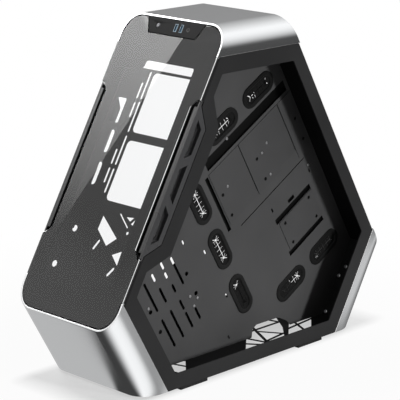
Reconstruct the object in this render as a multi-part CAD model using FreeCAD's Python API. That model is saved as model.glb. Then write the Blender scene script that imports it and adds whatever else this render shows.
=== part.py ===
import FreeCAD
import Part
import math
import os

os.makedirs("parts", exist_ok=True)
V = FreeCAD.Vector

# Driving dimensions in millimetres
LONG = 520.0            # long outer side of the cut-corner triangle
SHORT = 143.0           # short outer side, where a corner is cut off
WIDTH = 228.0           # across the case
FOOT = 5.0              # foot showing below the frame
CAP_WRAP = 46.8         # reach of a corner cap down the side
CAP_R = 36.0            # outer radius of a corner cap
CAP_T = 3.0             # cap sheet
RING = 27.0             # visible width of a side frame
RING_T = 2.5            # side frame sheet
SHEET = 1.2             # folded panel sheet
GLASS_T = 5.0           # front glass
FRAME_T = 3.0           # frame behind the glass
TRAY_DEPTH = 65.0       # side plane to the tray
FLOOR_UP = 10.0         # floor above the bottom edge
REAR_IN = 2.5           # rear wall behind the cap ends
WALL_IN = 16.0          # corner wall inside face below the cap
FAN_IN = 41.0           # fan bracket behind the glass face
FAN_PITCH = 119.0       # between the two front fans
DRIVE_U = 95.25         # large drive hole spacing across
DRIVE_V = 44.45         # large drive hole spacing along
SLOT_PITCH = 20.32      # expansion slot spacing
ROUND_SIDES = 8         # sides of a small round hole or pin
END_SIDES = 4           # sides of a slot's round end
CORNER_SIDES = 3        # sides of a rounded corner

# Derived sizes
ROOT3 = math.sqrt(3.0)
TRIANGLE = LONG + 2 * SHORT
R_LONG = TRIANGLE / (2 * ROOT3)
R_SHORT = TRIANGLE / ROOT3 - SHORT * ROOT3 / 2
LIFT = FOOT + R_LONG
GRID = TRIANGLE / 806             # tray pattern scale, drawn on a triangle of 806
HALF = WIDTH / 2
SKIN = HALF - 0.5                 # outer face of a side frame
INNER = SKIN - RING_T             # back face of a side frame
TRAY_X = HALF - TRAY_DEPTH
FRONT_IN = GLASS_T + FRAME_T
ORDER = ["bottom", "tail", "rear", "top", "front", "nose"]
ANGLE = {side: (270 + 60 * i) % 360 for i, side in enumerate(ORDER)}
REACH = {"bottom": R_LONG, "rear": R_LONG, "front": R_LONG, "tail": R_SHORT, "top": R_SHORT, "nose": R_SHORT}


def save(node, shape):
    """Lift a shape from the hexagon centre to the feet and write it."""
    lifted = shape.copy()
    lifted.translate(V(0, 0, LIFT))
    lifted.exportStep("parts/" + node + ".step")


def crossing(one, inset_one, two, inset_two):
    """Meeting point (y, z) of two hexagon sides moved inward."""
    a1 = math.radians(ANGLE[one])
    a2 = math.radians(ANGLE[two])
    d1 = REACH[one] - inset_one
    d2 = REACH[two] - inset_two
    c = math.cos(a1 - a2)
    k1 = (d1 - c * d2) / (1 - c * c)
    k2 = (d2 - c * d1) / (1 - c * c)
    y = k1 * math.cos(a1) + k2 * math.cos(a2)
    z = k1 * math.sin(a1) + k2 * math.sin(a2)
    return (y, z)


def hexagon(inset):
    """Corner points (y, z) of the hexagon with each side moved inward."""
    points = []
    for i in range(6):
        one = ORDER[i]
        two = ORDER[(i + 1) % 6]
        points.append(crossing(one, inset.get(one, 0), two, inset.get(two, 0)))
    return points


def along(side, inset, other, inset_other):
    """Place along a side where another side crosses it."""
    y, z = crossing(side, inset, other, inset_other)
    a = math.radians(ANGLE[side])
    return y * math.sin(a) - z * math.cos(a)


def slope(s, t):
    """Point (y, z) at s up the front slope and t behind the glass face."""
    a = math.radians(ANGLE["front"])
    y = math.cos(a) * (R_LONG - t) + math.sin(a) * (s - LONG / 2)
    z = math.sin(a) * (R_LONG - t) - math.cos(a) * (s - LONG / 2)
    return (y, z)


def board(u, v):
    """Point (y, z) in board axes: u toward the rear wall, v up along it."""
    y = GRID * (u * ROOT3 / 2 - v / 2)
    z = GRID * (u / 2 + v * ROOT3 / 2) - R_LONG
    return (y, z)


def loop(points, radius=0.0):
    """Closed flat outline through the points, each corner rounded in even steps."""
    corners = [V(a, b, 0) for a, b in points]
    if radius == 0.0:
        return Part.makePolygon(corners + [corners[0]])
    marks = []
    for i, corner in enumerate(corners):
        back = (corners[i - 1] - corner).normalize()
        ahead = (corners[(i + 1) % len(corners)] - corner).normalize()
        half = back.getAngle(ahead) / 2
        middle = (back + ahead).normalize()
        centre = corner + middle * (radius / math.sin(half))
        across = (ahead - back).normalize()
        for step in range(CORNER_SIDES + 1):
            turn = (math.pi / 2 - half) * (2 * step / CORNER_SIDES - 1)
            marks.append(centre - middle * (radius * math.cos(turn)) + across * (radius * math.sin(turn)))
    return Part.makePolygon(marks + [marks[0]])


def rect(a, b, wide, high, radius=0.0):
    """Rectangle outline about its centre."""
    w = wide / 2
    h = high / 2
    return loop([(a - w, b - h), (a + w, b - h), (a + w, b + h), (a - w, b + h)], radius)


def around(a, b, radius, sides):
    """Corner points of an even-sided outline about a centre."""
    steps = [2 * math.pi * (i + 0.5) / sides for i in range(sides)]
    return [(a + radius * math.cos(turn), b + radius * math.sin(turn)) for turn in steps]


def ring_hole(a, b, radius, sides=ROUND_SIDES):
    """Outline of a small round hole."""
    return loop(around(a, b, radius, sides))


def peg(a, b, radius, high, sides=ROUND_SIDES):
    """Upright pin on z = 0."""
    return Part.Face(ring_hole(a, b, radius, sides)).extrude(V(0, 0, high))


def slot(start, end, width, sides=END_SIDES):
    """Outline of a slot with round ends between two end points."""
    run = math.atan2(end[1] - start[1], end[0] - start[0])
    half = width / 2
    points = []
    for point, way in ((end, run), (start, run + math.pi)):
        middle = (point[0] - half * math.cos(way), point[1] - half * math.sin(way))
        for i in range(sides + 1):
            turn = way + math.pi * (i / sides - 0.5)
            points.append((middle[0] + half * math.cos(turn), middle[1] + half * math.sin(turn)))
    return loop(points)


def bar(start, end, width):
    """Flat strip between two points, as a face."""
    one = V(start[0], start[1], 0)
    two = V(end[0], end[1], 0)
    side = (two - one).normalize()
    side = V(-side.y, side.x, 0) * (width / 2)
    points = [one - side, two - side, two + side, one + side]
    return Part.Face(Part.makePolygon(points + [points[0]]))


def truss(outline, struts):
    """Outlines of the open cells left in a window crossed by struts."""
    window = Part.Face(outline)
    for start, end, width in struts:
        window = window.cut(bar(start, end, width))
    return [face.OuterWire for face in window.Faces if face.Area > 20]


def sheet(outline, holes, thick):
    """Plate with holes, standing on z = 0."""
    face = Part.makeFace([outline] + holes, "Part::FaceMakerBullseye")
    return face.extrude(V(0, 0, thick))


def on_side(shape, x):
    """Stand a flat shape in a side plane: flat axes become y and z."""
    turned = shape.copy()
    turn = FreeCAD.Rotation(V(0, 1, 0), V(0, 0, 1), V(1, 0, 0), "XYZ")
    turned.Placement = FreeCAD.Placement(V(x, 0, 0), turn).multiply(turned.Placement)
    return turned


def on_wall(shape, side, inset):
    """Lay a flat shape on a hexagon side, its base at the given depth."""
    moved = shape.copy()
    moved.translate(V(0, 0, REACH[side] - inset))
    moved.rotate(V(0, 0, 0), V(1, 0, 0), ANGLE[side] - 90)
    return moved


def prism(points, x0, x1):
    """Solid between two side planes from a (y, z) outline."""
    return on_side(Part.Face(loop(points)).extrude(V(0, 0, x1 - x0)), x0)


def mirrored(shape):
    """The same piece for the other side of the case."""
    return shape.mirror(V(0, 0, 0), V(1, 0, 0))


# Corner caps: a bent channel cut off by the two long sides beside it
def cap_profile(outer, radius, thick, wrap):
    """Channel section across the case, flat top at z = 0."""
    flat = outer - radius
    k = math.sqrt(0.5)
    inner = radius - thick
    edges = []

    def arc(sign, r):
        start = V(sign * (flat + r), 0, -radius)
        middle = V(sign * (flat + r * k), 0, -radius + r * k)
        return Part.Arc(start, middle, V(sign * flat, 0, -radius + r)).toShape()

    edges.append(Part.makeLine(V(-outer, 0, -wrap), V(-outer, 0, -radius)))
    edges.append(arc(-1, radius))
    edges.append(Part.makeLine(V(-flat, 0, 0), V(flat, 0, 0)))
    edges.append(arc(1, radius))
    edges.append(Part.makeLine(V(outer, 0, -radius), V(outer, 0, -wrap)))
    edges.append(Part.makeLine(V(outer, 0, -wrap), V(outer - thick, 0, -wrap)))
    edges.append(Part.makeLine(V(outer - thick, 0, -wrap), V(outer - thick, 0, -radius)))
    edges.append(arc(1, inner))
    edges.append(Part.makeLine(V(flat, 0, -thick), V(-flat, 0, -thick)))
    edges.append(arc(-1, inner))
    edges.append(Part.makeLine(V(-outer + thick, 0, -radius), V(-outer + thick, 0, -wrap)))
    edges.append(Part.makeLine(V(-outer + thick, 0, -wrap), V(-outer, 0, -wrap)))
    return Part.Face(Part.Wire(Part.__sortEdges__(edges)))


def channel(face, side, insets):
    """Run a section along a short side and trim it with the hexagon."""
    length = SHORT + 4 * CAP_WRAP
    run = face.extrude(V(0, length, 0))
    run.translate(V(0, -length / 2, 0))
    return on_wall(run, side, 0).common(prism(hexagon(insets), -WIDTH, WIDTH))


cap_face = cap_profile(HALF, CAP_R, CAP_T, CAP_WRAP)
FOLD = 23.0
fold_x = INNER - FOLD
supply_x = (TRAY_X - fold_x) / 2
supply_wide = (TRAY_X + fold_x) * 0.76
supply_high = SHORT * 0.42
socket_window = sheet(rect(supply_x, 0, supply_wide + 6, supply_high + 6, 8), [], 2 * CAP_T)
save("top_cap", channel(cap_face, "top", {}))
save("nose_cap", channel(cap_face, "nose", {}))
save("tail_cap", channel(cap_face, "tail", {}).cut(on_wall(socket_window, "tail", 1.5 * CAP_T)))

# Corner walls: folded channels under the caps, lapping the backs of the side frames
lap = CAP_WRAP + 14.0
wall_out = [(-INNER, -lap), (-INNER, -38), (-fold_x, -WALL_IN + SHEET), (fold_x, -WALL_IN + SHEET),
            (INNER, -38), (INNER, -lap)]
wall_back = [(INNER - SHEET, -lap), (INNER - SHEET, -38.5), (fold_x - 0.5, -WALL_IN),
             (-fold_x + 0.5, -WALL_IN), (-INNER + SHEET, -38.5), (-INNER + SHEET, -lap)]
wall_points = [V(a, 0, b) for a, b in wall_out + wall_back]
wall_face = Part.Face(Part.makePolygon(wall_points + [wall_points[0]]))
trim = {"front": FRONT_IN, "rear": REAR_IN + SHEET, "bottom": FLOOR_UP}
STRIP_ROOM = 72.0
strip_end = [slope(LONG - 40, 0), slope(LONG + 10, 0), slope(LONG + 10, 24), slope(LONG - 40, 24)]
strip_room = prism(strip_end, -STRIP_ROOM, STRIP_ROOM)
supply_cut = sheet(rect(supply_x, 0, supply_wide, supply_high, 4), [], 6)
for a in (-0.59, 0.59):
    for b in (-0.41, 0.41):
        screw_hole = ring_hole(supply_x + a * supply_wide, b * supply_high, 2.2)
        supply_cut = supply_cut.fuse(sheet(screw_hole, [], 6))
save("top_wall", channel(wall_face, "top", trim).cut(strip_room))
save("nose_wall", channel(wall_face, "nose", trim))
save("tail_wall", channel(wall_face, "tail", trim).cut(on_wall(supply_cut, "tail", WALL_IN + 2)))

# Side frames: flat rings with a bay for the side vent at the middle of the front edge
MID = LONG / 2
VENT_FRONT = 132.0
VENT_REAR = 97.0
VENT_DEEP = 34.6
below_cap = CAP_WRAP + 0.4
ring_edge = CAP_WRAP + RING + 1
ring_in = {"front": FRONT_IN, "rear": REAR_IN, "top": below_cap, "tail": below_cap, "nose": below_cap}
hole_in = {"front": RING - 2, "rear": RING, "bottom": RING - 1,
           "top": ring_edge, "tail": ring_edge, "nose": ring_edge}
outer_points = hexagon(ring_in)
bay_ratio = (VENT_FRONT - VENT_REAR) / (VENT_DEEP - 1.5)
bay_reach = VENT_FRONT + 0.8 - bay_ratio * (FRONT_IN - 1.5)
bay = [slope(MID + bay_reach, FRONT_IN), slope(MID + VENT_REAR + 0.5, VENT_DEEP + 0.5),
       slope(MID - VENT_REAR - 0.5, VENT_DEEP + 0.5), slope(MID - bay_reach, FRONT_IN)]
hole_points = hexagon(hole_in)
bulge = [slope(MID + 150, RING - 2), slope(MID + 108, VENT_DEEP + RING + 1),
         slope(MID - 106, VENT_DEEP + RING + 1), slope(MID - 146, RING - 2)]
ring_outline = loop(outer_points[:4] + bay + outer_points[4:])
ring_opening = loop(hole_points[:4] + bulge + hole_points[4:], 4.0)
ring_plate = sheet(ring_outline, [ring_opening], RING_T)
right_ring = on_side(ring_plate, INNER)
save("right_side_frame", right_ring)
save("left_side_frame", mirrored(right_ring))

# Side vents: moulded plates with three interlocking pockets and a lip behind the frame
vent_points = [slope(MID + VENT_FRONT, 1.5), slope(MID + VENT_REAR, VENT_DEEP),
               slope(MID - VENT_REAR, VENT_DEEP), slope(MID - VENT_FRONT, 1.5)]
POCKET_PITCH = 72.0
POCKET_LONG = 33.0
POCKET_SHORT = 21.5
POCKET_NEAR = 12.0
POCKET_FAR = 25.5


def pocket(step, near_half, far_half, grow):
    """Four-sided pocket outline on the side plane."""
    middle = MID + step * POCKET_PITCH
    near = POCKET_NEAR - grow
    far = POCKET_FAR + grow
    points = [slope(middle + near_half + grow, near), slope(middle + far_half + grow, far),
              slope(middle - far_half - grow, far), slope(middle - near_half - grow, near)]
    return points


VENT_OUT = SKIN - 0.7
vent = prism(vent_points, VENT_OUT - 3.0, VENT_OUT)
pocket_rows = [(1, POCKET_LONG, POCKET_SHORT), (0, POCKET_SHORT, POCKET_LONG),
               (-1, POCKET_LONG, POCKET_SHORT)]
for step, near_half, far_half in pocket_rows:
    vent = vent.fuse(prism(pocket(step, near_half, far_half, 1.6), VENT_OUT - 9.0, VENT_OUT - 2.0))
lip = prism([slope(MID + VENT_REAR - 8, VENT_DEEP - 3), slope(MID + VENT_REAR - 8, VENT_DEEP + 6),
             slope(MID - VENT_REAR + 8, VENT_DEEP + 6), slope(MID - VENT_REAR + 8, VENT_DEEP - 3)],
            INNER - 1.2, INNER)
vent = vent.fuse(lip)
for step, near_half, far_half in pocket_rows:
    vent = vent.cut(prism(pocket(step, near_half, far_half, 0.0), VENT_OUT - 7.5, VENT_OUT + 1.0))
    for line in (15.5, 21.5):
        middle = MID + step * POCKET_PITCH
        louvre = [slope(middle - 17, line - 1.2), slope(middle + 17, line - 1.2),
                  slope(middle + 17, line + 1.2), slope(middle - 17, line + 1.2)]
        vent = vent.cut(prism(louvre, VENT_OUT - 10.0, VENT_OUT - 6.0))
vent = vent.removeSplitter()
save("right_side_vent", vent)
save("left_side_vent", mirrored(vent))

# Front glass: one pane between the caps, notched for the vents and for the connection strip
NOTCH = 16.0
cap_room = cap_profile(HALF + 6, CAP_R + 6, CAP_T + 6.6, CAP_WRAP + 6.5)
cap_room.translate(V(0, 0, 6))


def vent_notch(depth0, depth1, gap):
    """Cutter that takes a side notch out of the front layers."""
    reach = VENT_FRONT + 1.0 + gap
    points = [(SKIN + 5, -reach), (SKIN + 5, reach), (VENT_OUT - 4, reach), (HALF - NOTCH - gap, reach - 13),
              (HALF - NOTCH - gap, 13 - reach), (VENT_OUT - 4, -reach)]
    cutter = on_wall(sheet(loop(points), [], depth1 - depth0), "front", depth1)
    return cutter.fuse(mirrored(cutter))


STRIP_TOP = 65.0
STRIP_FOOT = 52.0
STRIP_HIGH = 27.0


def strip_outline(gap):
    """Four-sided outline of the connection strip at the top of the slope."""
    top = LONG / 2 - 3.6 - gap
    foot = LONG / 2 - 3.6 - STRIP_HIGH + gap
    half_top = STRIP_TOP - gap
    half_foot = STRIP_FOOT - gap
    return loop([(-half_top, top), (-half_foot, foot), (half_foot, foot), (half_top, top)], 2.0)


def front_layer(depth0, depth1, gap):
    """Slab along the front slope between two depths, cut to fit the caps."""
    ends = [slope(-20, depth0), slope(LONG + 20, depth0), slope(LONG + 20, depth1), slope(-20, depth1)]
    layer = prism(ends, -SKIN, SKIN)
    for side in ("top", "nose"):
        room = cap_room.extrude(V(0, 2 * WIDTH, 0)).translated(V(0, -WIDTH, 0))
        layer = layer.cut(on_wall(room, side, 0))
    return layer.common(prism(hexagon({"top": CAP_T + gap, "nose": CAP_T + gap}), -WIDTH, WIDTH))


strip_cut = on_wall(sheet(strip_outline(-0.5), [], 60), "front", 40)
glass = front_layer(0, GLASS_T, 0.6).cut(vent_notch(-1, GLASS_T + 1, 0.0)).cut(strip_cut)
glass = max(glass.Solids, key=lambda solid: solid.Volume)
save("front_glass", glass)

# Frame behind the glass: a flat carrier with one tall opening, stepped at its top left
OPENING_LEFT = -76.0
OPENING_RIGHT = 73.0
OPENING_STEP = -37.0
STEP_DOWN = 14.0
opening_low = 73 - LONG / 2
opening_high = LONG / 2 - 77
opening = loop([(OPENING_LEFT, opening_low), (OPENING_RIGHT, opening_low), (OPENING_RIGHT, opening_high),
                (OPENING_STEP, opening_high), (OPENING_STEP, opening_high - STEP_DOWN),
                (OPENING_LEFT, opening_high - STEP_DOWN)], 5.0)
backing = front_layer(GLASS_T, FRONT_IN, 1.6)
backing = backing.cut(vent_notch(GLASS_T - 1, FRONT_IN + 1, 1.0)).cut(strip_cut)
backing = backing.cut(on_wall(sheet(opening, [], 20), "front", 20))
backing = max(backing.Solids, key=lambda solid: solid.Volume)
save("front_frame", backing)

# Connection strip: housing with bores for the button, sockets and jack
strip_y = LONG / 2 - 17
BUTTON_X = -37.0
USB_X = [3.0, 15.5]
JACK_X = 31.0
strip = sheet(strip_outline(0.0), [ring_hole(BUTTON_X, strip_y, 4.6, 18), ring_hole(JACK_X, strip_y, 3.6, 18)]
              + [rect(a, strip_y, 6.0, 13.6) for a in USB_X], 15.0)
closer = sheet(rect(BUTTON_X, strip_y, 11, 11), [], 2.0)
strip = on_wall(strip.fuse(closer).removeSplitter(), "front", 15.4)
save("strip_housing", strip)
button = peg(BUTTON_X, strip_y, 4.1, 8.0, 18).fuse(peg(BUTTON_X, strip_y, 3.2, 8.8, 18)).removeSplitter()
save("power_button", on_wall(button, "front", 8.6))
shells = []
tongues = []
for a in USB_X:
    shell = sheet(rect(a, strip_y, 5.8, 13.4), [rect(a, strip_y, 5.0, 12.6)], 11.5)
    rear_plug = sheet(rect(a, strip_y, 5.0, 12.6), [], 1.5)
    shells.append(on_wall(shell.fuse(rear_plug).removeSplitter(), "front", 12.0))
    tongues.append(on_wall(sheet(rect(a + 0.4, strip_y, 3.8, 11.0), [], 8.2), "front", 10.5))
save("data_socket_shells", Part.makeCompound(shells))
save("data_socket_tongues", Part.makeCompound(tongues))
jack = peg(JACK_X, strip_y, 3.5, 13.0, 18).cut(peg(JACK_X, strip_y, 1.85, 13.0, 12).translated(V(0, 0, 2.0)))
save("audio_jack", on_wall(jack, "front", 13.2))

# Front fan bracket: plate across the fans with screw slots and odd cut-outs below them
fan_low = 2.0
fan_high = fan_low + FAN_PITCH
FAN_HALF = 52.5
bracket_low = fan_low - 202
bracket_high = fan_high + 57
bracket_end = FAN_HALF + 22.5
bracket_outline = loop([(-INNER, bracket_low), (bracket_end, bracket_low), (bracket_end, bracket_high),
                        (-INNER, bracket_high)])
bracket_holes = [rect(0.5, middle, 91, 105, 8) for middle in (fan_low, fan_high)]
long_slots = [(fan_low - 42, fan_low + 1), (fan_low + 7, fan_low + 59), (fan_high - 54, fan_high),
              (fan_high + 4, fan_high + 53)]
short_slots = [(fan_low - 26, fan_low + 1), (fan_low + 7, fan_low + 34), (fan_high - 29, fan_high - 2),
               (fan_high + 4, fan_high + 33)]
for sign in (-1, 1):
    for low, high in long_slots:
        bracket_holes.append(slot((sign * FAN_HALF, low), (sign * FAN_HALF, high), 4.6))
    for low, high in short_slots:
        bracket_holes.append(slot((sign * (FAN_HALF + 9.8), low), (sign * (FAN_HALF + 9.8), high), 4.6))
edge_x = 24.0 - INNER
for low in (fan_low - 34, fan_low + 23):
    bracket_holes.append(slot((edge_x, low), (edge_x, low + 41), 11.5))
bracket_holes.append(rect(edge_x - 6.5, fan_low + 98, 21, 44, 3))
slant_slots = [((-23, -118), (-31, -136), 5.0), ((30, -155), (20, -171), 5.0), ((-1, -68), (26, -88), 2.6)]
for start, end, wide in slant_slots:
    bracket_holes.append(slot((start[0], fan_low + start[1]), (end[0], fan_low + end[1]), wide))
for a, s, radius in [(edge_x, -111, 6.0), (edge_x - 14.5, -176, 6.0), (29.5, -96, 3.0)]:
    bracket_holes.append(ring_hole(a, fan_low + s, radius))
panes = [[(-36, -78), (12, -109), (-5, -125), (-37, -102)], [(14, -136), (33, -126), (34, -151)],
         [(15, -71), (32, -69), (26, -77)], [(29, -80), (36, -71), (35, -82)]]
for pane in panes:
    bracket_holes.append(loop([(a, fan_low + s) for a, s in pane]))
save("fan_bracket", on_wall(sheet(bracket_outline, bracket_holes, SHEET), "front", FAN_IN + SHEET))

# Mid tray: pierced sheet with a pressed cable channel, features set out in board axes
grommet_rows = [(280.4, 351, 0), (181.4, 351, 0), (74.9, 271.7, 90), (74.9, 171.6, 90), (74.9, 68.5, 90),
                (181.4, -4.9, 0), (280.4, -4.9, 0)]
GROMMET_L = 80.0
GROMMET_W = 38.0
OVAL_SIDES = 6
CHANNEL = 5.5


def board_slot(u0, v0, u1, v1, width, sides=END_SIDES):
    """Slot outline between two board points."""
    return slot(board(u0, v0), board(u1, v1), width, sides)


def board_oval(u, v, turn, length, width, sides=END_SIDES):
    """Slot outline about a board point, along u or along v."""
    du = length / 2 if turn == 0 else 0
    dv = length / 2 if turn == 90 else 0
    return board_slot(u - du, v - dv, u + du, v + dv, width, sides)


def board_rect(u0, v0, u1, v1):
    """Rectangle outline in board axes."""
    return loop([board(u0, v0), board(u1, v0), board(u1, v1), board(u0, v1)])


tray_in = {"bottom": FLOOR_UP, "rear": REAR_IN + SHEET, "tail": WALL_IN, "top": WALL_IN, "nose": WALL_IN,
           "front": FAN_IN + SHEET}
corner_points = hexagon(tray_in)
arch = [(60, FLOOR_UP), (62, 25), (72, 31), (128, 31), (150, 20), (160, FLOOR_UP)]
arch = [(y, z - R_LONG) for y, z in arch]
tray_outline = loop(corner_points[5:] + arch + corner_points[:5])
tray_holes = [board_oval(u, v, turn, GROMMET_L - 10, GROMMET_W - 10, OVAL_SIDES)
              for u, v, turn in grommet_rows]
channels = [(118.5, 306, 338, 321.5), (204.7, 112, 304.8, 123), (204.7, 39, 304.8, 48.5),
            (105.5, 183, 113.0, 298.5), (135, 171.4, 317, 173.2), (247, 126, 264, 133)]
tray_holes = tray_holes + [board_rect(*corners) for corners in channels]
corner_slots = [(-88.7, 178.5, 241), (-88.7, 98.2, 160.7), (-65.9, 98.2, 160.7), (-65.9, 178.5, 210.5),
                (-41.1, 178.5, 196), (-41.1, 139, 161), (-41.1, 98.2, 133), (-20.3, 178, 238),
                (-20.3, 98.2, 124), (-67, 226, 243), (-42, 231, 246), (-43.5, 211, 225)]
for u, v0, v1 in corner_slots:
    tray_holes.append(board_slot(u, v0, u, v1, 5.0))
for u in (-101.5, -101.5 + DRIVE_U):
    for v in (188.7, 188.7 - DRIVE_V):
        tray_holes.append(ring_hole(*board(u, v), 4.0))
for u, v in [(44.8, 191.6), (46.9, 89.4), (207.7, 143.3), (316.7, 143.3), (13.9, 240.4), (14.5, 20.9)]:
    tray_holes.append(board_oval(u, v, 90, 9, 3.6))
tray = on_side(sheet(tray_outline, tray_holes, SHEET), TRAY_X - SHEET)


def trough(u0, v0, u1, v1):
    """Pressed channel behind a rectangular hole in the tray."""
    around_hole = Part.Face(board_rect(u0 - SHEET, v0 - SHEET, u1 + SHEET, v1 + SHEET))
    shell = on_side(around_hole.extrude(V(0, 0, CHANNEL)), TRAY_X - CHANNEL)
    hollow = Part.Face(board_rect(u0, v0, u1, v1)).extrude(V(0, 0, CHANNEL))
    return shell.cut(on_side(hollow, TRAY_X - CHANNEL + SHEET))


for corners in channels:
    tray = tray.fuse(trough(*corners))
save("mid_tray", tray.removeSplitter())

# Front cage: folded hat bracket behind the slotted corner of the tray
CAGE_DEEP = 14.0
cage_back = TRAY_X - SHEET - CAGE_DEEP
CAGE_U0 = -112.0
CAGE_U1 = 12.0
CAGE_V0 = 84.0
cage_edge = [(CAGE_U0, CAGE_V0), (CAGE_U1, CAGE_V0), (CAGE_U1, 211), (-18, 211), (-24, 200), (-48, 200),
             (-62, 216), (-72, 236), (CAGE_U0, 236)]
cage = prism([board(u, v) for u, v in cage_edge], cage_back, cage_back + SHEET)
for u, v in ((CAGE_U0, 236), (CAGE_U1 - SHEET, 211)):
    side_wall = [board(u, CAGE_V0), board(u + SHEET, CAGE_V0), board(u + SHEET, v), board(u, v)]
    cage = cage.fuse(prism(side_wall, cage_back, TRAY_X - SHEET))
save("front_cage", cage.removeSplitter())

# Cable grommets: rubber ovals with a slit membrane, pressed into the tray
def oval(trim):
    """Oval outline of the grommet, smaller all round by the trim."""
    reach = GROMMET_L / 2 - trim
    return slot((-reach, 0), (reach, 0), GROMMET_W - 2 * trim, OVAL_SIDES)


slit = rect(0, 0, 48, 1.6)
flange = sheet(oval(0), [oval(8)], 2.2).translated(V(0, 0, 0.01))
neck = sheet(oval(5.4), [oval(8)], 3.4).translated(V(0, 0, -3.39))
membrane = sheet(oval(5.4), [slit], 1.4).translated(V(0, 0, -1.6))
grommet = flange.fuse(neck).fuse(membrane).removeSplitter()
grommets = []
for u, v, turn in grommet_rows:
    y, z = board(u, v)
    piece = grommet.copy()
    piece.rotate(V(0, 0, 0), V(0, 0, 1), turn + 30)
    piece.translate(V(y, z, 0))
    grommets.append(on_side(piece, TRAY_X))
save("cable_grommets", Part.makeCompound(grommets))


# Drive plates: thin sheets on the tray with the drive screw holes
def drive_plate(corners, holes):
    """Plate on the near face of the tray from board points."""
    outline = loop([board(u, v) for u, v in corners])
    return on_side(sheet(outline, [ring_hole(*board(u, v), 3.2) for u, v in holes], SHEET), TRAY_X)


HOLE_U = 125.5
HOLE_V = 204.6
save("drive_plate_front", drive_plate(
    [(115.5, 192), (115.5, 300), (194.6, 300), (194.6, 192)],
    [(HOLE_U, HOLE_V), (HOLE_U, HOLE_V + DRIVE_V)]))
save("drive_plate_rear", drive_plate(
    [(196.4, 190), (196.4, 300), (304.5, 300), (304.5, 197.3), (261, 197.3), (261, 190)],
    [(HOLE_U + DRIVE_U, HOLE_V), (HOLE_U + DRIVE_U, HOLE_V + DRIVE_V)]))
save("drive_plate_end", drive_plate(
    [(306.3, 180), (306.3, 300), (342, 300), (342, 180)],
    [(331, HOLE_V), (331, HOLE_V + DRIVE_V)]))
save("small_drive_plate", drive_plate(
    [(209.5, 49.5), (209.5, 111), (304.8, 111), (304.8, 49.5)],
    [(222, 58), (222, 102), (292, 58), (292, 102)]))

# Rear wall: board opening, fan truss and expansion slots on a sheet that closes the corner channels
board_v = ROOT3 / 2 * R_LONG
top_end = along("rear", REAR_IN, "top", WALL_IN - SHEET)
top_shoulder = along("rear", REAR_IN, "top", 38)
low_end = along("rear", REAR_IN, "tail", WALL_IN - SHEET)
low_shoulder = along("rear", REAR_IN, "tail", 38)
rear_outline = loop([(-fold_x, top_end), (fold_x, top_end), (INNER, top_shoulder), (INNER, low_shoulder),
                     (fold_x, low_end), (-fold_x, low_end), (-INNER, low_shoulder), (-INNER, top_shoulder)])
FIRST_SLOT = 31.0
PORT_HIGH = 158.75
PORT_WIDE = 44.45
PORT_X0 = TRAY_X - SHEET - 8.0 - PORT_WIDE
port_mid = board_v - FIRST_SLOT - 6 * SLOT_PITCH - 7.2 - PORT_HIGH / 2
rear_holes = [rect(PORT_X0 + PORT_WIDE / 2, port_mid, PORT_WIDE, PORT_HIGH)]
fan_x = (PORT_X0 - INNER) / 2
fan_r = (PORT_X0 + INNER) * 0.43
fan_window = around(fan_x, port_mid, fan_r, 6)
fan_after = fan_window[1:] + fan_window[:1]
fan_middles = [((a[0] + b[0]) / 2, (a[1] + b[1]) / 2) for a, b in zip(fan_window, fan_after)]
fan_struts = [(fan_window[i], fan_window[i + 3], 3.5) for i in range(3)]
fan_struts = fan_struts + [(fan_middles[i], fan_middles[(i + 1) % 6], 3.0) for i in range(6)]
rear_holes = rear_holes + truss(loop(fan_window), fan_struts)
rear_holes = rear_holes + [ring_hole(fan_x + a * fan_r * 0.9, port_mid + b * fan_r * 0.9, 2.3)
                           for a in (-1, 1) for b in (-1, 1)]
slot_ys = [board_v - FIRST_SLOT - SLOT_PITCH * i for i in range(7)]
SLOT_X1 = TRAY_X - SHEET - 9.0
SLOT_X0 = SLOT_X1 - 104.8
for y in slot_ys:
    rear_holes.append(rect((SLOT_X0 + SLOT_X1) / 2, y, SLOT_X1 - SLOT_X0, 12.6))
save("rear_wall", on_wall(sheet(rear_outline, rear_holes, SHEET), "rear", REAR_IN + SHEET))

# Expansion slot covers, the rail their tabs rest on, and one screw for each
def across(radius, length, x, y):
    """Pin along X that crosses a cover's tab."""
    pin = peg(0, 0, radius, length)
    pin.rotate(V(0, 0, 0), V(0, 1, 0), 90)
    return pin.translated(V(x, y, -7.0))


covers = []
screws = []
for y in slot_ys:
    blade = Part.makeBox(SLOT_X1 - SLOT_X0 + 8, 18.4, 0.9, V(SLOT_X0 - 4, y - 9.2, -0.9))
    tab = Part.makeBox(0.9, 18.4, 12.5, V(SLOT_X0 - 4, y - 9.2, -12.5))
    tab = tab.cut(across(2.1, 4.0, SLOT_X0 - 6.5, y))
    covers.append(on_wall(blade.fuse(tab).removeSplitter(), "rear", REAR_IN + SHEET))
    shank = across(1.9, 3.0, SLOT_X0 - 6.1, y)
    head = across(4.2, 3.4, SLOT_X0 - 3.1, y)
    screws.append(on_wall(head.fuse(shank), "rear", REAR_IN + SHEET))
save("slot_covers", Part.makeCompound(covers))
save("slot_screws", Part.makeCompound(screws))
rail_long = SLOT_PITCH * 7 + 6
rail_y = slot_ys[3]
rail = Part.makeBox(1.2, rail_long, 13.0, V(SLOT_X0 - 5.2, rail_y - rail_long / 2, -13.0))
rail = rail.fuse(Part.makeBox(11.0, rail_long, 1.2, V(SLOT_X0 - 16.2, rail_y - rail_long / 2, -1.2)))
for y in slot_ys:
    rail = rail.cut(across(2.1, 4.0, SLOT_X0 - 6.5, y))
save("slot_rail", on_wall(rail.removeSplitter(), "rear", REAR_IN + SHEET))

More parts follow.
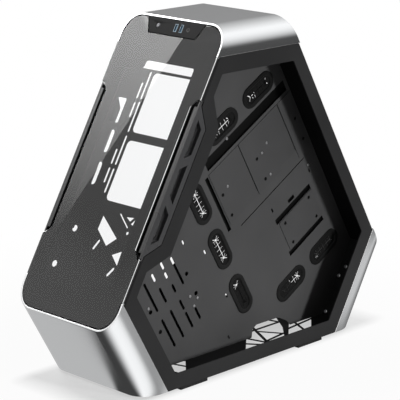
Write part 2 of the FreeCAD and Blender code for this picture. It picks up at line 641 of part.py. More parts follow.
# Floor: raised sheet with truss windows, flat y runs toward the front
front_end = -along("bottom", FLOOR_UP, "nose", WALL_IN - SHEET)
rear_end = -along("bottom", FLOOR_UP, "tail", WALL_IN - SHEET)
nose_shoulder = -along("bottom", FLOOR_UP, "nose", 38)
tail_shoulder = -along("bottom", FLOOR_UP, "tail", 38)
floor_outline = [(-fold_x, front_end), (fold_x, front_end), (INNER, nose_shoulder), (INNER, tail_shoulder),
                 (fold_x, rear_end), (-fold_x, rear_end), (-INNER, tail_shoulder), (-INNER, nose_shoulder)]
# Windows and struts are shares of the half width and of the half length
windows = [
    ([(-0.108, 0.454), (0, 0.677), (0.414, 0.55), (0.883, 0.354), (0.883, -0.031), (0.252, 0.269)],
     [((-0.144, 0.454), (0.739, 0.246), 5.0), ((0.216, 0.262), (0.216, 0.654), 4.0),
      ((0.27, 0.354), (0.649, 0.454), 3.0), ((-0.09, 0.577), (0.27, 0.615), 4.0),
      ((0.387, 0.2), (0.721, 0.238), 4.0), ((0.703, 0.231), (0.631, 0.462), 4.0),
      ((0.541, 0.115), (0.901, 0.231), 4.0)]),
    ([(0.18, 0.731), (0.883, 0.385), (0.883, 0.615), (0.396, 0.854), (0.18, 0.854)],
     [((0.225, 0.715), (0.901, 0.577), 4.0), ((0.541, 0.538), (0.45, 0.885), 4.0)]),
    ([(0.297, -0.481), (0.441, -0.392), (0.883, -0.577), (0.883, -0.731), (0.631, -0.592)],
     [((0.324, -0.5), (0.676, -0.454), 3.0), ((0.631, -0.592), (0.883, -0.577), 4.0)]),
]
for middle in (-0.404, 0.038):
    turns = [math.pi * i / 3 for i in range(6)]
    six = [(-0.495 + 0.468 * math.cos(turn), middle + 0.2 * math.sin(turn)) for turn in turns]
    windows.append((six, [(six[i], six[i + 3], 4.0) for i in range(3)]))


def on_floor(point):
    """Floor place from a share of the half width and half length."""
    return (point[0] * INNER, -point[1] * LONG / 2)


floor_holes = []
for outline, struts in windows:
    crossed = [(on_floor(start), on_floor(end), wide) for start, end, wide in struts]
    floor_holes = floor_holes + truss(loop([on_floor(point) for point in outline]), crossed)
floor = sheet(loop([(a, -b) for a, b in floor_outline]), floor_holes, SHEET)
save("floor_panel", on_wall(floor, "bottom", FLOOR_UP))

# Feet: rubber blocks under the floor that show below the frame
feet = []
for x in (-SKIN, SKIN - 21.5):
    for y in (-LONG * 0.281, LONG * 0.269):
        tread = Part.makeBox(21.5, 62, FOOT, V(x, y - 31, -R_LONG - FOOT))
        block_x = x + 2.9 if x < 0 else x
        block = Part.makeBox(18.6, 58, FLOOR_UP - SHEET, V(block_x, y - 29, -R_LONG))
        feet.append(tread.fuse(block).removeSplitter())
save("feet", Part.makeCompound(feet))

# Board standoffs on the far face of the tray
stands = []
for u in (334.8, 179.9, 107.5):
    for v in (308.5, 151.0, 26.6):
        y, z = board(u, v)
        six = around(y, z, 3.0, 6)
        seat = CHANNEL if v > 300 and u > 115 else SHEET
        stands.append(prism(six, TRAY_X - SHEET - 6.5, TRAY_X - seat))
save("board_standoffs", Part.makeCompound(stands))


# Screws with round heads on the tail wall and on the drive plates
wall_screws = []
for x, y in [(TRAY_X + 13, -24), (TRAY_X + 5, -5), (TRAY_X + 5, 64), (26 - fold_x, -62), (26 - fold_x, 62)]:
    head = peg(0, 0, 3.6, 2.2)
    head.rotate(V(0, 0, 0), V(1, 0, 0), 180)
    head.translate(V(x, y, 0))
    wall_screws.append(on_wall(head, "tail", WALL_IN))
save("wall_screws", Part.makeCompound(wall_screws))
plate_screws = []
on_plates = [(235.3, 250.3), (234.6, 203.9), (141.5, 255), (253, 258.3)]
on_tray = [(-19.7, 149.1), (-7.8, 135), (-20.7, 128), (-102, 197.5), (319, 154), (180.4, 326)]
for places, seat in ((on_plates, TRAY_X + SHEET), (on_tray, TRAY_X)):
    for u, v in places:
        y, z = board(u, v)
        plate_screws.append(on_side(peg(0, 0, 2.4, 1.4).translated(V(y, z, 0)), seat))
save("plate_screws", Part.makeCompound(plate_screws))
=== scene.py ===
import math

import bmesh
import bpy
import numpy as np
from mathutils import Matrix, Vector
from mathutils.geometry import delaunay_2d_cdt


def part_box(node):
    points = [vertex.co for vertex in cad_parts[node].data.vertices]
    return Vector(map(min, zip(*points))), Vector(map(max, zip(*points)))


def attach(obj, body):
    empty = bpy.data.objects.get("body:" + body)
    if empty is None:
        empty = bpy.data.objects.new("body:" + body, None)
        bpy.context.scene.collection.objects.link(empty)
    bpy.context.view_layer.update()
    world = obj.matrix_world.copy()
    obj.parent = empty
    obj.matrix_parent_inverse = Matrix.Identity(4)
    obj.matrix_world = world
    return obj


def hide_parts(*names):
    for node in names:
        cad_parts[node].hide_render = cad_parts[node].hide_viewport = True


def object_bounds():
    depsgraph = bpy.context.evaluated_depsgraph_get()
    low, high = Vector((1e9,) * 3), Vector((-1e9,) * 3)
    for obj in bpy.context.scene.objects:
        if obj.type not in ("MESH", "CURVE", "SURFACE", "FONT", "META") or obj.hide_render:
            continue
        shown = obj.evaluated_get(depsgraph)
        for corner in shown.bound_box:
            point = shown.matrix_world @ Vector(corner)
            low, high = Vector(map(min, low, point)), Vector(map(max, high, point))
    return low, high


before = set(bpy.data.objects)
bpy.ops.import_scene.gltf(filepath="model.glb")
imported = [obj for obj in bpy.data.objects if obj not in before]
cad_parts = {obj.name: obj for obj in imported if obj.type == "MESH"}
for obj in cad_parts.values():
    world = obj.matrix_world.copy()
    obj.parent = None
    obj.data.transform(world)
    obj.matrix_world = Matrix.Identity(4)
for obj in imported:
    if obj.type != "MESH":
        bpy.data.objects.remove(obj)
cad_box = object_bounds()

# Floor panel and rear wall: steel sheets with truss windows, folded to meet the corner walls.
# They are powder coated black, so the coat has a fine orange-peel grain and barely shines. Their
# black is darker than the side frames': painted shade of the case's inside.
# The coat is sprayed on every steel panel, so its recipe stands here and serves them all.
PANEL_SHADED_BLACK = (0.005, 0.005, 0.0053)
REAR_SHADED_BLACK = (0.004, 0.004, 0.0042)
BODY = "case"
GRAIN_DETAIL = 2.0
GRAIN_DEPTH = 0.0002
CLOUD_SCALE = 7.0
CLOUD_DETAIL = 3.0
CLOUD_LOW = 0.3
CLOUD_HIGH = 0.7


def powder_grain():
    """Shared group: fine coat grain as a height, and slow cloudy change of tone and shine."""
    group = bpy.data.node_groups.new("powder_grain", "ShaderNodeTree")
    for side, kind, sockets in (("INPUT", "NodeSocketColor", ("Tone",)),
                                ("INPUT", "NodeSocketFloat", ("Cloud", "Shine", "Grain")),
                                ("OUTPUT", "NodeSocketColor", ("Color",)),
                                ("OUTPUT", "NodeSocketFloat", ("Roughness", "Height"))):
        for socket in sockets:
            group.interface.new_socket(socket, in_out=side, socket_type=kind)
    nodes = group.nodes
    link = group.links.new
    given = nodes.new("NodeGroupInput")
    out = nodes.new("NodeGroupOutput")
    place = nodes.new("ShaderNodeTexCoord")
    fine = nodes.new("ShaderNodeTexNoise")
    fine.inputs["Detail"].default_value = GRAIN_DETAIL
    slow = nodes.new("ShaderNodeTexNoise")
    slow.inputs["Scale"].default_value = CLOUD_SCALE
    slow.inputs["Detail"].default_value = CLOUD_DETAIL
    link(place.outputs["Object"], fine.inputs["Vector"])
    link(place.outputs["Object"], slow.inputs["Vector"])
    link(given.outputs["Grain"], fine.inputs["Scale"])
    swing = nodes.new("ShaderNodeMapRange")
    swing.inputs["From Min"].default_value = CLOUD_LOW
    swing.inputs["From Max"].default_value = CLOUD_HIGH
    swing.inputs["To Min"].default_value = -1.0
    link(slow.outputs["Fac"], swing.inputs["Value"])
    share = nodes.new("ShaderNodeMath")
    share.operation = "MULTIPLY_ADD"
    share.inputs[2].default_value = 1.0
    link(swing.outputs["Result"], share.inputs[0])
    link(given.outputs["Cloud"], share.inputs[1])
    tint = nodes.new("ShaderNodeVectorMath")
    tint.operation = "SCALE"
    link(given.outputs["Tone"], tint.inputs[0])
    link(share.outputs["Value"], tint.inputs["Scale"])
    rough = nodes.new("ShaderNodeMath")
    rough.operation = "MULTIPLY"
    link(given.outputs["Shine"], rough.inputs[0])
    link(share.outputs["Value"], rough.inputs[1])
    link(tint.outputs["Vector"], out.inputs["Color"])
    link(rough.outputs["Value"], out.inputs["Roughness"])
    link(fine.outputs["Fac"], out.inputs["Height"])
    return group


POWDER_GRAIN = powder_grain()


def powder_coat(name, tone, shine=0.5, cloud=0.12, grain=900.0, bump=0.15, specular=0.3):
    """Material of a sprayed or moulded matt surface, with its own tone, shine and grain size."""
    made = bpy.data.materials.new(name)
    made.use_nodes = True
    tree = made.node_tree
    shader = tree.nodes["Principled BSDF"]
    shader.inputs["Specular IOR Level"].default_value = specular
    coat = tree.nodes.new("ShaderNodeGroup")
    coat.node_tree = POWDER_GRAIN
    coat.inputs["Tone"].default_value = (*tone, 1.0)
    coat.inputs["Cloud"].default_value = cloud
    coat.inputs["Shine"].default_value = shine
    coat.inputs["Grain"].default_value = grain
    relief = tree.nodes.new("ShaderNodeBump")
    relief.inputs["Strength"].default_value = bump
    relief.inputs["Distance"].default_value = GRAIN_DEPTH
    tree.links.new(coat.outputs["Color"], shader.inputs["Base Color"])
    tree.links.new(coat.outputs["Roughness"], shader.inputs["Roughness"])
    tree.links.new(coat.outputs["Height"], relief.inputs["Height"])
    tree.links.new(relief.outputs["Normal"], shader.inputs["Normal"])
    return made


def dress(material, *names):
    """Give CAD nodes their finish."""
    for name in names:
        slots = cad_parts[name].data.materials
        slots.clear()
        slots.append(material)


dress(powder_coat("panel_shaded_black", PANEL_SHADED_BLACK, shine=0.6, specular=0.15), "floor_panel")
dress(powder_coat("rear_shaded_black", REAR_SHADED_BLACK, shine=0.6, specular=0.1), "rear_wall")

# Corner walls: folded steel channels under the three caps, rarely lit, with the shade inside the
# case painted into their black like the floor's.
# They close the corners and carry the side frames on their flanges.
WALL_SHADED_BLACK = (0.007, 0.007, 0.0075)
dress(powder_coat("corner_shaded_black", WALL_SHADED_BLACK), "top_wall", "tail_wall", "nose_wall")

# Mid tray: the pierced steel sheet that carries the board on one side, drives and cables on the
# other. Its grey-black coat is the lightest of the panels. The pressed channels, what lies under a
# drive plate and a band beside the top channel are painted black: painted shade of those recesses
# and gaps.
TRAY_GREY = (0.068, 0.068, 0.069)
TRAY_PAINTED_SHADE = (0.003, 0.003, 0.003)
BOARD_U = Vector((0.0, math.sqrt(3) / 2, 0.5))
BOARD_V = Vector((0.0, -0.5, math.sqrt(3) / 2))
BOARD_FLOOR = Vector((0.0, 0.0, 0.005))
# Opposite corners of each area along the board's axes, then the fades of the masks.
SHADED_AREAS = [(0.1160, 0.1980, 0.3415, 0.2995), (0.2100, 0.0500, 0.3043, 0.1105),
                (0.1185, 0.3210, 0.3380, 0.3265)]
AREA_FADE = 0.0002
CHANNEL_DEPTH = 0.0009
CHANNEL_FADE = 0.0004
AWAY_FACING = (-0.5, 0.1)
FAR = 2.0


def object_place(tree):
    """The place on a piece, in its own frame."""
    return tree.nodes.new("ShaderNodeTexCoord").outputs["Object"]


def apart(tree, vector):
    """The X, Y and Z outputs of a vector."""
    axes = tree.nodes.new("ShaderNodeSeparateXYZ")
    tree.links.new(vector, axes.inputs["Vector"])
    return axes.outputs


def facing_x(tree):
    """How far a face looks to the right: the x part of its own normal."""
    return apart(tree, tree.nodes.new("ShaderNodeNewGeometry").outputs["True Normal"])["X"]


def distance_along(tree, place, way):
    """How far a place lies along a direction."""
    along = tree.nodes.new("ShaderNodeVectorMath")
    along.operation = "DOT_PRODUCT"
    along.inputs[1].default_value = way
    tree.links.new(place, along.inputs[0])
    return along.outputs["Value"]


def within(tree, value, middle, half, soft):
    """Mask of a value: one within half of the middle, falling to nought over the soft width."""
    away = tree.nodes.new("ShaderNodeMath")
    away.operation = "SUBTRACT"
    away.inputs[1].default_value = middle
    size = tree.nodes.new("ShaderNodeMath")
    size.operation = "ABSOLUTE"
    fall = tree.nodes.new("ShaderNodeMapRange")
    fall.inputs["From Min"].default_value = half
    fall.inputs["From Max"].default_value = half + soft
    fall.inputs["To Min"].default_value = 1.0
    fall.inputs["To Max"].default_value = 0.0
    tree.links.new(value, away.inputs[0])
    tree.links.new(away.outputs["Value"], size.inputs[0])
    tree.links.new(size.outputs["Value"], fall.inputs["Value"])
    return fall.outputs["Result"]


def below(tree, value, edge, soft):
    """Mask of a value: one under the edge, falling to nought over the soft width past it."""
    return within(tree, value, edge - FAR, FAR, soft)


def moved(tree, value, share, shift):
    """A value times a share, plus a shift."""
    step = tree.nodes.new("ShaderNodeMath")
    step.operation = "MULTIPLY_ADD"
    step.inputs[1].default_value = share
    step.inputs[2].default_value = shift
    tree.links.new(value, step.inputs[0])
    return step.outputs["Value"]


def inverse(tree, mask):
    """One less a mask."""
    return moved(tree, mask, -1.0, 1.0)


def joined(tree, operation, one, two):
    """One value from two, by a maths operation."""
    both = tree.nodes.new("ShaderNodeMath")
    both.operation = operation
    tree.links.new(one, both.inputs[0])
    tree.links.new(two, both.inputs[1])
    return both.outputs["Value"]


def retoned(tree, mask, tone):
    """Change a coat's colour to another tone where a mask is one."""
    base = tree.nodes["Principled BSDF"].inputs["Base Color"]
    choose = tree.nodes.new("ShaderNodeMix")
    choose.data_type = "RGBA"
    choose.inputs["B"].default_value = (*tone, 1.0)
    tree.links.new(mask, choose.inputs["Factor"])
    tree.links.new(base.links[0].from_socket, choose.inputs["A"])
    tree.links.new(choose.outputs["Result"], base)


def tray_coat():
    """The tray's coat, painted black for shade in the channels behind its near face and the shaded
    areas.
    """
    made = powder_coat("tray_grey", TRAY_GREY, shine=0.6, specular=0.15)
    tree = made.node_tree
    place = object_place(tree)
    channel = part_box("mid_tray")[1][0] - CHANNEL_DEPTH
    deep = below(tree, apart(tree, place)["X"], channel, CHANNEL_FADE)
    near_side = inverse(tree, below(tree, facing_x(tree), *AWAY_FACING))
    black = joined(tree, "MULTIPLY", deep, near_side)
    along_u = distance_along(tree, place, BOARD_U)
    along_v = distance_along(tree, place, BOARD_V)
    floor_u = BOARD_U.dot(BOARD_FLOOR)
    floor_v = BOARD_V.dot(BOARD_FLOOR)
    for u0, v0, u1, v1 in SHADED_AREAS:
        across = within(tree, along_u, (u0 + u1) / 2 + floor_u, (u1 - u0) / 2, AREA_FADE)
        up = within(tree, along_v, (v0 + v1) / 2 + floor_v, (v1 - v0) / 2, AREA_FADE)
        black = joined(tree, "MAXIMUM", black, joined(tree, "MULTIPLY", across, up))
    # Painted shade: the channels, the areas under the drive plates and the band beside the top
    # channel turn black.
    retoned(tree, black, TRAY_PAINTED_SHADE)
    return made


dress(tray_coat(), "mid_tray")

# Drive plates: thin steel sheets screwed to the near face of the tray, pierced for drive screws.
# They have the tray's coat, a shade darker. Their cut edges are broken, so a thin line shows round
# each of them.
PLATE_GREY = (0.064, 0.064, 0.065)
PLATE_EDGE = 0.00035
SAME_POINT = 1e-6
FLAT_ANGLE = math.radians(0.5)
CREASE_ANGLE = math.radians(35)
ROUNDED_ANGLE = math.radians(50)


def merged(node):
    """A copy of a node's mesh, its doubles merged and its flat triangles joined into faces."""
    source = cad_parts[node]
    mesh = bpy.data.meshes.new(node + "_soft")
    work = bmesh.new()
    work.from_mesh(source.data)
    work.transform(source.matrix_world)
    bmesh.ops.remove_doubles(work, verts=work.verts, dist=SAME_POINT)
    bmesh.ops.dissolve_limit(work, angle_limit=FLAT_ANGLE, verts=work.verts, edges=work.edges)
    work.to_mesh(mesh)
    work.free()
    return mesh


def stand_for(mesh, node, body=BODY):
    """Make the object of a finished mesh, which rides on a body in place of a node."""
    made = bpy.data.objects.new(mesh.name, mesh)
    bpy.context.scene.collection.objects.link(made)
    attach(made, body)
    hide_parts(node)
    return made


def bevelled(made, width, steps, sharp, finish=-1, clamp=True):
    """Break the edges of an object that are sharper than an angle, in a finish of that number."""
    bevel = made.modifiers.new("broken edge", "BEVEL")
    bevel.width = width
    bevel.segments = steps
    bevel.limit_method = "ANGLE"
    bevel.angle_limit = sharp
    bevel.harden_normals = True
    bevel.use_clamp_overlap = clamp
    bevel.material = finish


def soft_edges(node, coat, width, edge=None, body=BODY, steps=2, mesh=None, clamp=True):
    """A node's own solid, or a mesh made from it, with every sharp edge rounded to a width, in an
    edge finish of its own if one is given."""
    mesh = mesh or merged(node)
    mesh.materials.append(coat)
    if edge is not None:
        mesh.materials.append(edge)
    mesh.shade_smooth()
    mesh.set_sharp_from_angle(angle=CREASE_ANGLE)
    made = stand_for(mesh, node, body)
    bevelled(made, width, steps, ROUNDED_ANGLE, -1 if edge is None else 1, clamp)
    return made


plate_grey = powder_coat("plate_grey", PLATE_GREY, shine=0.55, specular=0.15)
for node in ("drive_plate_front", "drive_plate_rear", "drive_plate_end", "small_drive_plate"):
    soft_edges(node, plate_grey, PLATE_EDGE)

# Front cage: a folded steel hat bracket behind the slotted corner of the tray, sprayed black.
# It is spot welded to the tray's far face and darkens most of the slots.
CAGE_BLACK = (0.006, 0.006, 0.006)
dress(powder_coat("cage_black", CAGE_BLACK), "front_cage")

# Cable grommets: soft black rubber ovals pressed into the tray, moulded with a rounded rim and a
# thin membrane. It is slit along the middle, with short cross slits and a star at each end, so
# that cables push through.
RIM_RUBBER = (0.009, 0.009, 0.009)
LEAF_RUBBER = (0.011, 0.011, 0.011)
RIM_STRAIGHT = 0.021
RIM_RADIUS = 0.019
RIM_STEPS = 72
RIM_PROFILE = np.array([(0.0, 0.0), (0.0, 1.0), (0.35, 1.7), (1.1, 2.12), (2.6, 2.2), (5.2, 2.15),
                        (6.8, 1.85), (7.7, 1.2), (8.0, 0.3), (8.0, -3.35), (5.5, -3.35),
                        (5.4, -3.0), (5.4, 0.0)]) / 1000
RIM_CREASE = math.radians(40)
LEAF_TOP = -0.0003
LEAF_BACK = -0.0008
LEAF_TRIM = 0.0074
FILL_SLACK = 1e-7
ACROSS = np.array([1.0, 0.0, 0.0])
SLITS = [(-22, 0, 22, 0, 1.4)] + [(a, -8, a, 8, 0.9) for a in (-20, -10, 0, 10, 20)]
SLITS = SLITS + [(a - 5, -6 * k, a + 5, 6 * k, 1.1) for a in (-20, 20) for k in (-1, 1)]


def solids(node):
    """Corner points of each solid of a node: points joined by edges share the lowest label."""
    mesh = merged(node)
    points = np.empty(len(mesh.vertices) * 3)
    mesh.vertices.foreach_get("co", points)
    points = points.reshape(-1, 3)
    ends = np.empty(len(mesh.edges) * 2, dtype=np.int32)
    mesh.edges.foreach_get("vertices", ends)
    one, two = ends.reshape(-1, 2).T
    label = np.arange(len(points))
    settled = False
    while not settled:
        lower = np.minimum(label[one], label[two])
        after = label.copy()
        np.minimum.at(after, one, lower)
        np.minimum.at(after, two, lower)
        settled = np.array_equal(after, label)
        label = after
    bpy.data.meshes.remove(mesh)
    return [points[label == name] for name in np.unique(label)]


def oval_line(trim, steps):
    """Points (a, b) round an oval: a circle of the rim radius less a trim, its halves set apart."""
    turn = 2 * np.pi * (np.arange(steps) + 0.5) / steps
    a = np.sign(np.cos(turn)) * RIM_STRAIGHT + (RIM_RADIUS - trim) * np.cos(turn)
    return np.stack([a, (RIM_RADIUS - trim) * np.sin(turn)], axis=1)


def grommet_rim():
    """The rim profile (trim, height) carried round the oval, closed both ways."""
    rounds = np.stack([oval_line(trim, RIM_STEPS) for trim in RIM_PROFILE[:, 0]], axis=1)
    heights = np.broadcast_to(RIM_PROFILE[None, :, 1:], (RIM_STEPS, len(RIM_PROFILE), 1))
    points = np.concatenate([rounds, heights], axis=2).reshape(-1, 3)
    i, j = np.meshgrid(np.arange(RIM_STEPS), np.arange(len(RIM_PROFILE)), indexing="ij")
    after_i = (i + 1) % RIM_STEPS
    after_j = (j + 1) % len(RIM_PROFILE)
    count = len(RIM_PROFILE)
    faces = np.stack([i * count + j, after_i * count + j,
                      after_i * count + after_j, i * count + after_j], axis=-1)
    return points, faces.reshape(-1, 4).tolist()


def grommet_leaf():
    """The membrane: the oval filled with triangles less those inside a slit, as a top and a back
    skin joined by walls along every edge that only one triangle has."""
    outlines = [oval_line(LEAF_TRIM, RIM_STEPS)]
    for a0, b0, a1, b1, wide in SLITS:
        start = np.array([a0, b0]) / 1000
        end = np.array([a1, b1]) / 1000
        side = np.array([start[1] - end[1], end[0] - start[0]])
        side = side / np.linalg.norm(side) * wide / 2000
        outlines.append(np.array([start - side, end - side, end + side, start + side]))
    firsts = np.cumsum([0] + [len(outline) for outline in outlines])
    loops = [list(range(first, first + len(outline))) for first, outline in zip(firsts, outlines)]
    marks = [Vector(point) for point in np.concatenate(outlines).tolist()]
    flat, _, triangles, _, _, owners = delaunay_2d_cdt(marks, [], loops, 1, FILL_SLACK)
    kept = np.array([triangle for triangle, owner in zip(triangles, owners) if owner == [0]])
    flat = np.array(flat)
    count = len(flat)
    edges = np.concatenate([kept[:, [0, 1]], kept[:, [1, 2]], kept[:, [2, 0]]])
    key = np.sort(edges, axis=1)
    _, where, times = np.unique(key, axis=0, return_index=True, return_counts=True)
    rim = edges[where[times == 1]]
    top = np.column_stack([flat, np.full(count, LEAF_TOP)])
    back = np.column_stack([flat, np.full(count, LEAF_BACK)])
    walls = np.column_stack([rim[:, 1], rim[:, 0], rim[:, 0] + count, rim[:, 1] + count])
    faces = kept.tolist() + (kept[:, ::-1] + count).tolist() + walls.tolist()
    return np.concatenate([top, back]), faces


rim_points, rim_faces = grommet_rim()
leaf_points, leaf_faces = grommet_leaf()
grommet_points = []
grommet_faces = []
grommet_finish = []
for corners in solids("cable_grommets"):
    centre = (corners.min(axis=0) + corners.max(axis=0)) / 2
    centre[0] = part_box("mid_tray")[1][0]
    reach_u = np.ptp(corners @ np.array(BOARD_U))
    reach_v = np.ptp(corners @ np.array(BOARD_V))
    long_way = np.array(BOARD_U if reach_u > reach_v else BOARD_V)
    turn = np.array([long_way, np.cross(ACROSS, long_way), ACROSS])
    for points, faces, finish in ((rim_points, rim_faces, 0), (leaf_points, leaf_faces, 1)):
        base = sum(len(block) for block in grommet_points)
        grommet_points.append(centre + points @ turn)
        grommet_faces += [[base + corner for corner in face] for face in faces]
        grommet_finish += [finish] * len(faces)
grommet_mesh = bpy.data.meshes.new("cable_grommets_slit")
grommet_mesh.from_pydata(np.concatenate(grommet_points).tolist(), [], grommet_faces)
for name, tone, shine, specular in (("rim_rubber", RIM_RUBBER, 0.6, 0.2),
                                    ("leaf_rubber", LEAF_RUBBER, 0.8, 0.1)):
    rubber = powder_coat(name, tone, shine, cloud=0.2, grain=500.0, specular=specular)
    grommet_mesh.materials.append(rubber)
grommet_mesh.polygons.foreach_set("material_index", grommet_finish)
grommet_mesh.shade_smooth()
grommet_mesh.set_sharp_from_angle(angle=RIM_CREASE)
stand_for(grommet_mesh, "cable_grommets")

# Board standoffs: turned brass pegs pressed into the tray, on its far face.
# Their hexagon flanks keep the bright drawn surface of the bar.
BRASS = (0.70, 0.52, 0.22)
STANDOFF_EDGE = 0.0003
FINE_GRAIN = 1500.0


def turned_metal(name, tone, shine):
    """Bare machined metal: the shared grain gives fine change of tone and shine."""
    made = powder_coat(name, tone, shine, cloud=0.08, grain=FINE_GRAIN, bump=0.05, specular=0.5)
    made.node_tree.nodes["Principled BSDF"].inputs["Metallic"].default_value = 1.0
    return made


brass = turned_metal("standoff_brass", BRASS, 0.3)
soft_edges("board_standoffs", brass, STANDOFF_EDGE)

# Screws: zinc plated steel pan heads on the drive plates, the tail wall and the slot covers.
# Each head is a low dome with a cross recess for the driver.
ZINC = (0.42, 0.42, 0.43)
# The drive plate screws get a lighter zinc than the rest: a painted glint.
GLINT_ZINC = (0.55, 0.55, 0.56)
# Radius and height of the heads, then shares of them.
PLATE_HEAD = (0.0024, 0.0014)
WALL_HEAD = (0.0036, 0.0022)
SLOT_HEAD = (0.0042, 0.0034)
TAIL_INWARD = np.array([0.0, -math.sqrt(3) / 2, 0.5])
HEAD_TURNS = 48
HEAD_RINGS = 15
HEAD_CROWDING = 0.8
HEAD_FOOT = 0.7
HEAD_RIM = 0.4
HEAD_CREASE = math.radians(50)
RECESS_DEPTH = 0.5
RECESS_HALF = 0.17
RECESS_WALL = 0.05
RECESS_REACH = 0.62
RECESS_END = 0.06


def closed(mesh):
    """Merge the doubled points of a mesh, and turn all its faces outward."""
    work = bmesh.new()
    work.from_mesh(mesh)
    bmesh.ops.remove_doubles(work, verts=work.verts, dist=SAME_POINT)
    bmesh.ops.recalc_face_normals(work, faces=work.faces)
    work.to_mesh(mesh)
    work.free()


def pan_heads(node, way, radius, high, coat):
    """Heads for the solids of a node. The height over the seat, as a share of the whole height, at
    a share r of the radius is HEAD_RIM + (1 - HEAD_RIM) * sqrt(1 - r^2). A cross recess takes off
    RECESS_DEPTH where the nearer of the two side shares is under RECESS_HALF and r is under
    RECESS_REACH."""
    side = np.cross(way, [0.0, 0.0, 1.0])
    side = side / np.linalg.norm(side)
    turn = np.array([side, np.cross(way, side), way])
    rings = np.linspace(0.0, 1.0, HEAD_RINGS) ** HEAD_CROWDING
    share = np.concatenate([rings, [1.0, HEAD_FOOT]])
    angle = 2 * np.pi * np.arange(HEAD_TURNS) / HEAD_TURNS
    r, t = np.meshgrid(share, angle, indexing="ij")
    a = r * np.cos(t)
    b = r * np.sin(t)
    dome = HEAD_RIM + (1 - HEAD_RIM) * np.sqrt(np.clip(1 - r * r, 0, 1))
    beside = np.minimum(np.abs(a), np.abs(b))
    narrow = np.clip((RECESS_HALF - beside) / RECESS_WALL, 0, 1)
    short = np.clip((RECESS_REACH - r) / RECESS_END, 0, 1)
    height = dome - RECESS_DEPTH * narrow * short
    height[HEAD_RINGS:] = 0.0
    head = np.stack([radius * a, radius * b, high * height], axis=-1).reshape(-1, 3)
    rows = len(share)
    i, j = np.meshgrid(np.arange(rows - 1), np.arange(HEAD_TURNS), indexing="ij")
    after = (j + 1) % HEAD_TURNS
    quads = np.stack([i * HEAD_TURNS + j, (i + 1) * HEAD_TURNS + j,
                      (i + 1) * HEAD_TURNS + after, i * HEAD_TURNS + after], axis=-1).reshape(-1, 4)
    points = []
    faces = []
    for corners in solids(node):
        middle = (corners.min(axis=0) + corners.max(axis=0)) / 2
        seat = middle + way * ((corners @ way).max() - high - middle @ way)
        faces.append(quads + len(points) * len(head))
        points.append(seat + head @ turn)
    mesh = bpy.data.meshes.new(node + "_heads")
    mesh.from_pydata(np.concatenate(points).tolist(), [], np.concatenate(faces).tolist())
    closed(mesh)
    mesh.materials.append(coat)
    mesh.shade_smooth()
    mesh.set_sharp_from_angle(angle=HEAD_CREASE)
    stand_for(mesh, node)


zinc = turned_metal("zinc", ZINC, 0.3)
glint_zinc = turned_metal("glint_zinc", GLINT_ZINC, 0.4)
pan_heads("plate_screws", ACROSS, *PLATE_HEAD, glint_zinc)
pan_heads("wall_screws", TAIL_INWARD, *WALL_HEAD, zinc)
pan_heads("slot_screws", ACROSS, *SLOT_HEAD, zinc)

# Expansion slot covers and the rail that their tabs rest on: thin folded steel, sprayed black.
# One screw holds each cover's tab to the rail.
COVER_BLACK = (0.008, 0.008, 0.008)
COVER_EDGE = 0.0002
cover_black = powder_coat("cover_black", COVER_BLACK)
soft_edges("slot_covers", cover_black, COVER_EDGE)
dress(cover_black, "slot_rail")

# Front fan bracket: the slotted plate, just behind the glass, that holds the two intake fans.
# It is punched from black sheet and hung between the tray and the left side frame.
BRACKET_BLACK = (0.006, 0.006, 0.0065)
dress(powder_coat("bracket_black", BRACKET_BLACK, bump=0.0, specular=0.0), "fan_bracket")

# Side frames: flat steel rings, one on each side, with a finer and darker coat than the tray.
# They are screwed to the flanges of the corner walls, and their cut edges are slightly rounded.
RING_BLACK = (0.024, 0.024, 0.0245)
RING_EDGE = 0.0005
ring_black = powder_coat("ring_black", RING_BLACK, shine=0.48, specular=0.12)
soft_edges("right_side_frame", ring_black, RING_EDGE)
soft_edges("left_side_frame", ring_black, RING_EDGE)

# Side vents: moulded plastic plates with three interlocking pockets, clipped behind the ring.
# The pockets have louvres in their floors and rounded rims, and a narrow stepped lip runs
# along the front edge. The pocket floors are painted darker, as painted shade of the pockets.
VENT_GREY = (0.050, 0.050, 0.052)
POCKET_PAINTED_SHADE = (0.020, 0.020, 0.021)
POCKET_DEPTH = 0.002
POCKET_FADE = 0.0003
SIDE_FACING = (0.4, 0.2)
VENT_EDGE = 0.0006
GLASS_MIDDLE = np.array([0.0, -0.2015, 0.3540])
GLASS_OUT = np.array([0.0, -math.sqrt(3) / 2, 0.5])
UP_SLOPE = np.array([0.0, 0.5, math.sqrt(3) / 2])
LIP_HALF = 0.1225
# Two depths behind the glass and two distances across, for each bar.
LIP_BARS = [((0.0015, 0.0040), (0.1043, 0.1099)), ((0.0056, 0.0066), (0.0992, 0.1099))]
BAR_FACES = ((0, 1, 3, 2), (4, 6, 7, 5), (0, 4, 5, 1), (2, 3, 7, 6), (0, 2, 6, 4), (1, 5, 7, 3))


def sideways(tree):
    """Mask of the faces that look to the right or the left of the case."""
    return inverse(tree, within(tree, facing_x(tree), 0.0, *SIDE_FACING))


def vent_coat():
    """The vent's coat, with painted shade: darker on what faces sideways deep in the pockets."""
    made = powder_coat("vent_grey", VENT_GREY, shine=0.3, grain=700.0, bump=0.08, specular=0.6)
    tree = made.node_tree
    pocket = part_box("right_side_vent")[1][0] - POCKET_DEPTH
    deep = within(tree, apart(tree, object_place(tree))["X"], 0.0, pocket, POCKET_FADE)
    retoned(tree, joined(tree, "MULTIPLY", deep, sideways(tree)), POCKET_PAINTED_SHADE)
    return made


